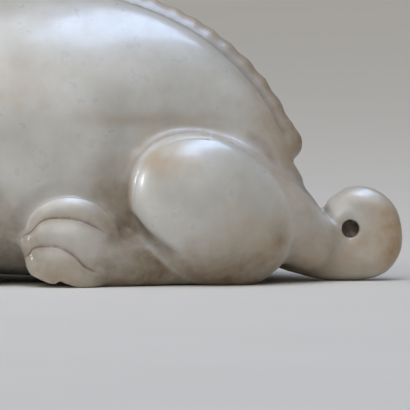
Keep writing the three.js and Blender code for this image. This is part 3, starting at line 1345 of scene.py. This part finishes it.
def per_mm(size: float) -> float:
    """Gives the scale of a pattern whose features are a size in millimetres apart."""
    return 1.0 / (size * MM)


def add_node(
    tree: bpy.types.NodeTree, kind: str, links: dict[str | int, object] | None = None, **settings: object
) -> bpy.types.Node:
    """Adds a node with its settings and links.

    Args:
        tree: The material's nodes.
        kind: The node's type.
        links: For each input, a socket to link or a value to set.
        settings: The node's own properties.

    Returns:
        The new node.
    """
    node = tree.nodes.new(kind)
    for name, value in settings.items():
        setattr(node, name, value)
    for name, source in (links or {}).items():
        if isinstance(source, bpy.types.NodeSocket):
            tree.links.new(source, node.inputs[name])
        else:
            node.inputs[name].default_value = source
    return node


# The sockets of a Mix node that mixes colours.
MIX_FACTOR, MIX_A, MIX_B, MIX_RESULT = 0, 6, 7, 2


@dataclass(frozen=True)
class Nephrite:
    """Pale nephrite jade, ground and polished by hand, with an old stain in its hollows and shade painted
    on its low parts.
    """

    pale: str = "#d3d3cf"
    cloud: str = "#bdbcb4"
    russet: str = "#a98650"
    umber: str = "#453317"
    roughness: float = 0.3
    # How far the polish varies, and how much each stain dulls it.
    worn: Range = (-0.05, 0.08)
    russet_dulls: float = 0.35
    umber_dulls: float = 0.4
    cloud_mm: float = 13.0
    mottle_mm: float = 2.6
    stain_mm: float = 3.4
    glow_mm: float = 3.0

    def material(self) -> bpy.types.Material:
        """Makes the finish.

        Returns:
            The material.
        """
        # A dense milky stone: light sinks in a little way and comes out soft, the polish gives a
        # waxy gloss, and the stain of long handling sits in the cuts and hollows.
        # The russet and umber colours also paint shade on the low parts and in the bore of the eye.
        made = bpy.data.materials.new("polished_nephrite")
        made.use_nodes = True
        tree = made.node_tree
        shader = tree.nodes["Principled BSDF"]
        place = add_node(tree, "ShaderNodeTexCoord").outputs["Object"]
        cloud = add_node(
            tree, "ShaderNodeTexNoise",
            {"Vector": place, "Scale": per_mm(self.cloud_mm), "Detail": 4.0, "Roughness": 0.55},
        )
        mottle = add_node(
            tree, "ShaderNodeTexNoise",
            {"Vector": place, "Scale": per_mm(self.mottle_mm), "Detail": 2.5, "Roughness": 0.6},
        )
        ragged = add_node(
            tree, "ShaderNodeTexNoise",
            {"Vector": place, "Scale": per_mm(self.stain_mm), "Detail": 3.0, "Roughness": 0.65},
        )
        cloudy = add_node(
            tree, "ShaderNodeMapRange",
            {"Value": cloud.outputs["Fac"], "From Min": 0.35, "From Max": 0.68},
        )
        body = add_node(
            tree, "ShaderNodeMix",
            {MIX_FACTOR: cloudy.outputs[0], MIX_A: linear(self.pale), MIX_B: linear(self.cloud)},
            data_type="RGBA",
        )
        flecks = add_node(
            tree, "ShaderNodeMapRange",
            {"Value": mottle.outputs["Fac"], "From Min": 0.4, "From Max": 0.75, "To Max": 0.12},
        )
        flecked = add_node(
            tree, "ShaderNodeMix",
            {MIX_FACTOR: flecks.outputs[0], MIX_A: body.outputs[MIX_RESULT], MIX_B: linear(self.russet)},
            data_type="RGBA",
        )
        russet = self.stain(tree, "russet", ragged.outputs["Fac"])
        stained = add_node(
            tree, "ShaderNodeMix",
            {MIX_FACTOR: russet, MIX_A: flecked.outputs[MIX_RESULT], MIX_B: linear(self.russet)},
            data_type="RGBA",
        )
        umber = self.stain(tree, "umber", ragged.outputs["Fac"])
        dark = add_node(
            tree, "ShaderNodeMix",
            {MIX_FACTOR: umber, MIX_A: stained.outputs[MIX_RESULT], MIX_B: linear(self.umber)},
            data_type="RGBA",
        )
        tree.links.new(dark.outputs[MIX_RESULT], shader.inputs["Base Color"])
        worn = add_node(
            tree, "ShaderNodeMapRange",
            {
                "Value": mottle.outputs["Fac"], "From Min": 0.3, "From Max": 0.7,
                "To Min": self.roughness + self.worn[0], "To Max": self.roughness + self.worn[1],
            },
        )
        rubbed = add_node(
            tree, "ShaderNodeMath",
            {0: russet, 1: self.russet_dulls, 2: worn.outputs[0]},
            operation="MULTIPLY_ADD",
        )
        dull = add_node(
            tree, "ShaderNodeMath",
            {0: umber, 1: self.umber_dulls, 2: rubbed.outputs[0]},
            operation="MULTIPLY_ADD",
        )
        tree.links.new(dull.outputs[0], shader.inputs["Roughness"])
        constants = {
            "IOR": 1.61,
            "Subsurface Weight": 0.6,
            "Subsurface Radius": (1.0, 0.86, 0.66),
            "Subsurface Scale": self.glow_mm * MM,
            "Coat Weight": 0.2,
            "Coat Roughness": 0.1,
        }
        for name, value in constants.items():
            shader.inputs[name].default_value = value
        return made

    def stain(
        self, tree: bpy.types.NodeTree, name: str, ragged: bpy.types.NodeSocket
    ) -> bpy.types.NodeSocket:
        """Breaks up a stored stain, with the shade painted into it, by a ragged pattern.

        Args:
            tree: The material's nodes.
            name: The stored stain.
            ragged: The pattern that breaks it up.

        Returns:
            How strong the stain is.
        """
        stored = add_node(tree, "ShaderNodeAttribute", attribute_name=name)
        broken = add_node(
            tree, "ShaderNodeMapRange",
            {"Value": ragged, "From Min": 0.3, "From Max": 0.7, "To Min": 0.65, "To Max": 1.15},
        )
        product = add_node(
            tree, "ShaderNodeMath",
            {0: stored.outputs["Fac"], 1: broken.outputs[0]},
            operation="MULTIPLY", use_clamp=True,
        )
        return product.outputs[0]


@dataclass(frozen=True)
class PaleFloor:
    """A plain pale floor of sealed plaster."""

    colour: str = "#e8e6e2"
    shade: str = "#e2e0db"
    roughness: float = 0.6
    specular: float = 0.1
    cloud_mm: float = 60.0

    def material(self) -> bpy.types.Material:
        """Makes the finish.

        Returns:
            The material.
        """
        # Matt and even, with hardly any cloudiness, so that nothing draws the eye from the stone.
        made = bpy.data.materials.new("sealed_plaster")
        made.use_nodes = True
        tree = made.node_tree
        shader = tree.nodes["Principled BSDF"]
        place = add_node(tree, "ShaderNodeTexCoord").outputs["Object"]
        cloud = add_node(
            tree, "ShaderNodeTexNoise", {"Vector": place, "Scale": per_mm(self.cloud_mm), "Detail": 3.0}
        )
        mixed = add_node(
            tree, "ShaderNodeMix",
            {MIX_FACTOR: cloud.outputs["Fac"], MIX_A: linear(self.colour), MIX_B: linear(self.shade)},
            data_type="RGBA",
        )
        tree.links.new(mixed.outputs[MIX_RESULT], shader.inputs["Base Color"])
        shader.inputs["Roughness"].default_value = self.roughness
        shader.inputs["Specular IOR Level"].default_value = self.specular
        return made


@dataclass(frozen=True)
class Qilin:
    """The whole beast, carved from one stone."""

    torso: Torso = Torso()
    legs: Legs = Legs()
    tail: Tail = Tail()
    head: Head = Head()
    voxel: float = 0.75
    first_smooth: int = 4
    soft_smooth: int = 90
    body_softness: float = 0.45
    # What stays crisp: the head and the paws, by the distance from their middles, the crest, by its
    # share of the barrel and its half width, the rim of the haunch, and the curl of the tail.
    head_back: float = 3.0
    head_crisp: Range = (17.0, 25.0)
    paw_height: float = 6.0
    paw_out: Range = (9.0, 14.0)
    paw_crisp: Range = (11.5, 15.5)
    spine_share: Range = (0.93, 0.97)
    spine_half: Range = (2.8, 4.6)
    rim_spread: float = 0.16
    rim_front: Range = (0.1, 0.6)
    rim_out: float = 10.0
    curl_crisp: float = 0.85
    curl_from: Range = (44.0, 48.0)
    # What is ground down most: the rear edge of the haunch, where it runs into the tail.
    rump_spread: float = 0.3
    rump_rear: Range = (0.0, -0.6)
    rump_up: Range = (4.0, 8.0)
    rump_out: float = 3.0
    rump_end: Range = (45.0, 48.0)
    wave_mm: float = 9.0
    wave_depth: float = 0.12
    hollow_steps: int = 60
    # The stain that gathers in hollows: how strong it gets, and the depths between which it grows.
    hollow_russet: float = 0.35
    light_depth: Range = (0.15, 0.9)
    hollow_umber: float = 0.4
    dark_depth: Range = (0.6, 1.4)
    # How the edges of patches wander, and where they stop at the haunch, as shares of it.
    wander_mm: float = 3.5
    haunch_edge: Range = (0.93, 1.0)
    # The stain on the crest: shares of the barrel, half widths, and where it starts and ends along.
    crest_inner: Range = (0.97, 1.04)
    crest_outer: Range = (1.15, 1.2)
    crest_half: Range = (3.0, 6.0)
    crest_start: Range = (-24.0, -16.0)
    crest_end: Range = (45.6, 47.0)
    # How strong it is in front, what is added towards the rear, and where along that happens.
    crest_russet: float = 0.6
    rear_russet: float = 0.25
    russet_along: Range = (15.0, 45.0)
    rear_umber: float = 0.45
    umber_along: Range = (20.0, 45.0)
    # Shade painted dark brown on the wall of the eye's bore.
    eye_painted_shade: float = 0.9
    eye_mouth: float = 3.3
    # Stains on the near flank and shade painted on its low parts, and those that the far flank has in
    # other places.
    near_stains_and_shade: tuple[Patch, ...] = (
        Patch(-2.5, 34.5, 5, 4.5, 0.22, ragged=0.7),
        Patch(22, 21.5, 5, 2.4, 0.55, ragged=0.5),
        Patch(61, 7, 5, 10, 0.85, 0.1),
        Patch(56, 6.5, 4, 4, 0.6),
        Patch(41.3, 8, 1.6, 2.4, 0.6, 0.3),
        Patch(20, 28.2, 14, 1.2, 0.35, ragged=0.4),
        Patch(44, 25, 9, 16, 0.6, 0.1),
        # From here on: shade painted on the low parts and in the creases round the haunch, darker towards
        # the ground, partly real stain.
        Patch(40, 5, 12, 9, 0.55),
        Patch(49, 4, 14, 7, 0.55, 0.1),
        Patch(14, 14, 6, 8, 0.5, 0.4),
        Patch(15.5, 9.5, 5, 5.5, 0.6, 0.55),
        Patch(19.5, 4.5, 5.5, 4, 0.65, 0.65),
        Patch(20, 2, 13, 6.5, 0.65, 0.65),
        Patch(33, 1.0, 13, 5.5, 0.7, 0.55),
        Patch(5, 1.5, 11, 6, 0.5, 0.25),
        Patch(-5, 7, 8, 9, 0.4, 0.55),
    )
    far_stains_and_shade: tuple[Patch, ...] = (
        Patch(8, 38, 6, 4, 0.5),
        Patch(26, 20, 4, 3, 0.5),
        Patch(57, 12, 3, 3, 0.5),
        Patch(-20, 20, 5, 5, 0.45),
        Patch(40, 9, 2, 2, 0.5),
        # Shade painted under the haunch of the far flank, partly real stain.
        Patch(15.5, 9.5, 4.5, 5, 0.5, 0.6),
        Patch(19.5, 4.5, 5, 3.5, 0.5, 0.6),
    )

    # How the wander falls off from one octave to the next, the step in size, and how many there are.
    WANDER = (0.8, 2.0, 4)

    def fuse(self) -> bpy.types.Object:
        """Roughs out every form and fuses them into one stone.

        Returns:
            The stone, in millimetres.
        """
        forms = self.torso.rough_out(self.legs.haunch)
        forms += self.legs.rough_out()
        forms.append(self.tail.rough_out())
        forms += self.head.rough_out()
        stone = join(forms)
        stone.name = stone.data.name = PIECE_NAME
        apply_modifier(stone, "REMESH", mode="VOXEL", voxel_size=self.voxel)
        return stone

    def softness(self, points: np.ndarray) -> np.ndarray:
        """Tells how far the edges are ground away.

        Args:
            points: Rows of places.

        Returns:
            From 0 on fine carving to 1 behind the haunch, for each place.
        """
        x, y, z = points.T
        head = np.hypot(np.hypot(x - self.head.x + self.head_back, y), z - self.head.z)
        fine = 1.0 - smoothstep(*self.head_crisp, head)
        for along, across in self.legs.paw_places():
            paw = np.hypot(x - self.legs.toes[0].x - along, z - self.paw_height)
            outer = smoothstep(*self.paw_out, np.abs(y) - across)
            fine = np.maximum(fine, outer * (1.0 - smoothstep(*self.paw_crisp, paw)))
        spine = smoothstep(*self.spine_share, self.torso.back_share(x, z))
        fine = np.maximum(fine, spine * (1.0 - smoothstep(*self.spine_half, np.abs(y))))
        a, b = self.legs.haunch.shares(x, z)
        share = np.hypot(a, b) + TINY
        rim = np.exp(-(((share - 1.0) / self.rim_spread) ** 2)) * smoothstep(*self.rim_front, a / share)
        fine = np.maximum(fine, rim * (np.abs(y) > self.rim_out))
        curl = self.curl_crisp * smoothstep(*self.curl_from, x)
        body = self.body_softness * (1.0 - np.maximum(fine, curl))
        rump = np.exp(-(((share - 1.0) / self.rump_spread) ** 2)) * smoothstep(*self.rump_rear, a / share)
        rump *= smoothstep(*self.rump_up, z) * (1.0 - smoothstep(*self.rump_end, x))
        return np.maximum(body, rump * (np.abs(y) > self.rump_out))

    def smooth(self, stone: bpy.types.Object) -> None:
        """Grinds the fused stone smooth, most on the body and least on the fine carving.

        Args:
            stone: The fused stone.
        """
        apply_modifier(stone, "SMOOTH", factor=0.5, iterations=self.first_smooth)
        group = stone.vertex_groups.new(name="soft")
        for index, weight in enumerate(self.softness(get_coords(stone))):
            group.add([index], float(weight), "REPLACE")
        apply_modifier(stone, "SMOOTH", factor=0.5, iterations=self.soft_smooth, vertex_group="soft")
        set_coords(stone, self.tail.shave(get_coords(stone)))

    def refine(self, stone: bpy.types.Object, strokes: Sequence[LaidStroke], level: int) -> None:
        """Makes the mesh finer under the strokes that ask for it.

        Args:
            stone: The smoothed stone.
            strokes: The lines on it.
            level: Which pass this is, from 1.
        """
        mesh = stone.data
        middles = np.empty(len(mesh.polygons) * 3)
        mesh.polygons.foreach_get("center", middles)
        middles = middles.reshape(-1, 3)
        chosen = np.zeros(len(middles), bool)
        margin = self.voxel / level
        for laid in strokes:
            if laid.stroke.passes < level:
                continue
            near = laid.near(middles, laid.stroke.width + margin)
            span, _, _ = laid.measure(middles[near])
            chosen[near[span < laid.stroke.width + margin]] = True
        pick([stone])
        bpy.context.tool_settings.mesh_select_mode = (False, False, True)
        bpy.ops.object.mode_set(mode="EDIT")
        bpy.ops.mesh.select_all(action="DESELECT")
        bpy.ops.object.mode_set(mode="OBJECT")
        mesh.polygons.foreach_set("select", chosen)
        bpy.ops.object.mode_set(mode="EDIT")
        bpy.ops.mesh.subdivide(number_cuts=1)
        bpy.ops.mesh.vertices_smooth(factor=0.5, repeat=2)
        bpy.ops.object.mode_set(mode="OBJECT")

    def engrave(self, stone: bpy.types.Object) -> tuple[np.ndarray, np.ndarray]:
        """Cuts every line into the stone.

        Args:
            stone: The smoothed stone.

        Returns:
            How much dark and how much light stain there is at each vertex.
        """
        parts = (self.torso, self.legs, self.tail, self.head)
        tree = BVHTree.FromObject(stone, bpy.context.evaluated_depsgraph_get())
        strokes = [stroke.laid_on(tree) for part in parts for stroke in part.strokes()]
        for level in (1, 2):
            self.refine(stone, strokes, level)
        coords, normals = get_coords(stone), get_normals(stone)
        depth, umber, russet = np.zeros((3, len(coords)))
        for laid in strokes:
            near = laid.near(coords, 2.0 * laid.stroke.reach + HALO)
            dark, light = laid.stain_at(coords[near])
            depth[near] = np.maximum(depth[near], laid.depth_at(coords[near]))
            umber[near] = np.maximum(umber[near], dark)
            russet[near] = np.maximum(russet[near], light)
        set_coords(stone, self.tail.ream(coords, normals) - normals * depth[:, None])
        return umber, russet

    def wear(self, stone: bpy.types.Object) -> None:
        """Gives the surface the slight waves of hand polishing, and grinds the soles flat.

        Args:
            stone: The engraved stone.
        """
        coords, normals = get_coords(stone), get_normals(stone)
        waves = np.array([noise.noise(Vector(row) / self.wave_mm) for row in coords])
        coords += normals * (self.wave_depth * waves)[:, None]
        coords[:, 2] = np.maximum(coords[:, 2], self.legs.sole_at(coords))
        set_coords(stone, coords)

    def hollows(self, stone: bpy.types.Object) -> np.ndarray:
        """Measures how hollow the surface is.

        Args:
            stone: The carved stone.

        Returns:
            How many millimetres each vertex lies below its surroundings.
        """
        mesh = stone.data
        coords, normals = get_coords(stone), get_normals(stone)
        ends = np.empty(len(mesh.edges) * 2, np.int32)
        mesh.edges.foreach_get("vertices", ends)
        first, second = ends.reshape(-1, 2).T
        count = np.bincount(ends, minlength=len(coords)).astype(float)
        level = coords.copy()
        for _ in range(self.hollow_steps):
            around = np.empty_like(level)
            for axis in range(3):
                total = np.bincount(first, level[second, axis], len(level))
                total += np.bincount(second, level[first, axis], len(level))
                around[:, axis] = total / count
            level = (level + around) / 2
        return ((level - coords) * normals).sum(axis=1)

    def stain(self, stone: bpy.types.Object, umber: np.ndarray, russet: np.ndarray) -> None:
        """Stores where the stone is stained, and where shade is painted on its low parts and in the eye's
        bore.

        Args:
            stone: The carved stone, in millimetres.
            umber: How much dark stain the strokes left at each vertex.
            russet: How much light stain they left.
        """
        coords = get_coords(stone)
        x, y, z = coords.T
        hollow = self.hollows(stone)
        russet = np.maximum(russet, self.hollow_russet * smoothstep(*self.light_depth, hollow))
        wander = np.array([noise.fractal(Vector(row) / self.wander_mm, *self.WANDER) for row in coords])
        on_haunch = 1.0 - smoothstep(*self.haunch_edge, np.hypot(*self.legs.haunch.shares(x, z)))
        # The patches hold real stains, and also shade painted on the low parts and in the creases round
        # the haunch.
        for side, patches in ((Side.NEAR, self.near_stains_and_shade), (Side.FAR, self.far_stains_and_shade)):
            for patch in patches:
                inside = math.hypot(*self.legs.haunch.shares(patch.x, patch.z)) < 1.0
                spread = patch.at(coords, side, wander) * (on_haunch if inside else 1.0 - on_haunch)
                russet = np.maximum(russet, patch.russet * spread)
                umber = np.maximum(umber, patch.umber * spread)
        back = self.torso.back_share(x, z)
        crest = smoothstep(*self.crest_inner, back) * (1.0 - smoothstep(*self.crest_outer, back))
        crest *= 1.0 - smoothstep(*self.crest_half, np.abs(y))
        crest *= smoothstep(*self.crest_start, x) * (1.0 - smoothstep(*self.crest_end, x))
        ochre = self.crest_russet + self.rear_russet * smoothstep(*self.russet_along, x)
        russet = np.maximum(russet, ochre * crest)
        umber = np.maximum(umber, self.rear_umber * smoothstep(*self.umber_along, x) * crest)
        dark = np.maximum(umber, self.hollow_umber * smoothstep(*self.dark_depth, hollow))
        # Shade painted dark brown into the bore of the eye.
        in_eye = self.tail.eye_depth(coords) * (np.abs(y) < self.eye_mouth)
        dark = np.maximum(dark, self.eye_painted_shade * in_eye)
        set_attribute(stone, "russet", russet)
        set_attribute(stone, "umber", dark)

    def build(self, finish: Nephrite) -> bpy.types.Object:
        """Carves the beast and polishes it.

        Args:
            finish: The stone's finish.

        Returns:
            The finished piece, in metres.
        """
        stone = self.fuse()
        self.smooth(stone)
        umber, russet = self.engrave(stone)
        self.wear(stone)
        self.stain(stone, umber, russet)
        pick([stone])
        bpy.ops.transform.resize(value=(MM, MM, MM))
        apply_place()
        bpy.ops.object.shade_smooth()
        stone.data.materials.clear()
        stone.data.materials.append(finish.material())
        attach(stone, CAD_BODY)
        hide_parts(CAD_NODE)
        return stone


@dataclass(frozen=True)
class Softbox:
    """A rectangular studio light.

    Attributes:
        name: What it is for.
        at: Where it stands.
        size: Its width and height.
        watts: Its power.
        colour: Its colour.
        sheen_only: Whether it is seen in the polish alone.
    """

    name: str
    at: Point
    size: tuple[float, float]
    watts: float
    colour: str
    sheen_only: bool = False

    def hang(self, target: Point) -> None:
        """Hangs the light and turns it to a target.

        Args:
            target: What it shines at.
        """
        lamp = bpy.data.lights.new(self.name, "AREA")
        lamp.shape = "RECTANGLE"
        lamp.size, lamp.size_y = self.size
        lamp.energy = self.watts
        lamp.color = linear(self.colour)[:3]
        obj = bpy.data.objects.new(self.name, lamp)
        bpy.context.scene.collection.objects.link(obj)
        obj.location = self.at
        obj.rotation_euler = (Vector(target) - Vector(self.at)).to_track_quat("-Z", "Y").to_euler()
        obj.visible_camera = False
        obj.visible_diffuse = not self.sheen_only


@dataclass(frozen=True)
class Studio:
    """The floor, the lights and the camera."""

    floor_size: float = 12.0
    floor_parts: int = 8
    boxes: tuple[Softbox, ...] = (
        Softbox("left_window", (-0.6, -0.14, 0.14), (0.06, 0.16), 1.2, "#f2f6ff"),
        Softbox("top_window", (0.17, -0.07, 0.6), (0.8, 0.24), 5.0, "#bcd6ff", sheen_only=True),
        Softbox("top_fill", (0.1, -0.1, 0.7), (0.6, 0.6), 1.5, "#d6e4ff"),
    )
    sky: str = "#cdcbc8"
    sky_strength: float = 0.24
    sun_strength: float = 1.4
    sun_spread: float = 60.0
    sun_colour: str = "#fefcfa"
    sun_turn: Point = (36.0, -14.0, 0.0)
    target: Point = (0.02, 0.0, 0.02)
    elevation: float = 3.0
    distance: float = 1.5
    mm_per_pixel: float = 0.17
    image_pixels: int = 410
    sensor: float = 36.0
    sight: float = 100.0
    # The middle of the image, along and up, in the plane of the near flank.
    aim: Point = (0.028645, -0.012, 0.01354)

    def lay_floor(self, finish: PaleFloor) -> bpy.types.Object:
        """Lays the floor.

        Args:
            finish: The floor's finish.

        Returns:
            The floor.
        """
        deselect_all()
        parts = self.floor_parts
        bpy.ops.mesh.primitive_grid_add(x_subdivisions=parts, y_subdivisions=parts, size=self.floor_size)
        floor = bpy.context.object
        floor.name = "floor"
        floor.data.materials.append(finish.material())
        return floor

    def light(self) -> None:
        """Hangs the softboxes and sets the light of the room."""
        for box in self.boxes:
            box.hang(self.target)
        sun = bpy.data.lights.new("sky_light", "SUN")
        sun.energy = self.sun_strength
        sun.angle = math.radians(self.sun_spread)
        sun.color = linear(self.sun_colour)[:3]
        lamp = bpy.data.objects.new("sky_light", sun)
        bpy.context.scene.collection.objects.link(lamp)
        lamp.rotation_euler = tuple(math.radians(turn) for turn in self.sun_turn)
        bpy.context.scene.view_settings.view_transform = "Standard"
        world = bpy.data.worlds.new("room")
        bpy.context.scene.world = world
        world.use_nodes = True
        back = world.node_tree.nodes["Background"]
        back.inputs["Color"].default_value = linear(self.sky)
        back.inputs["Strength"].default_value = self.sky_strength

    def set_camera(self) -> None:
        """Sets the camera at the photograph's angle and framing."""
        lens = bpy.data.cameras.new("camera")
        lens.sensor_width = self.sensor
        field_width = self.mm_per_pixel * self.image_pixels * MM
        lens.lens = self.sensor * self.distance / field_width
        lens.clip_end = self.sight
        obj = bpy.data.objects.new("camera", lens)
        bpy.context.scene.collection.objects.link(obj)
        tip = math.radians(self.elevation)
        back = Vector((0.0, -math.cos(tip), math.sin(tip)))
        obj.location = Vector(self.aim) + back * self.distance
        obj.rotation_euler = (-back).to_track_quat("-Z", "Y").to_euler()
        bpy.context.scene.camera = obj


def main() -> None:
    """Builds the figurine and its studio."""
    logging.basicConfig(level=logging.INFO, format="%(name)s: %(message)s")
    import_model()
    stone = Qilin().build(Nephrite())
    triangles = sum(len(face.vertices) - 2 for face in stone.data.polygons)
    LOG.info("%s: %d triangles", stone.name, triangles)
    studio = Studio()
    floor = studio.lay_floor(PaleFloor())
    LOG.info("%s: %.0f m across", floor.name, studio.floor_size)
    studio.light()
    studio.set_camera()


if __name__ == "__main__":
    main()
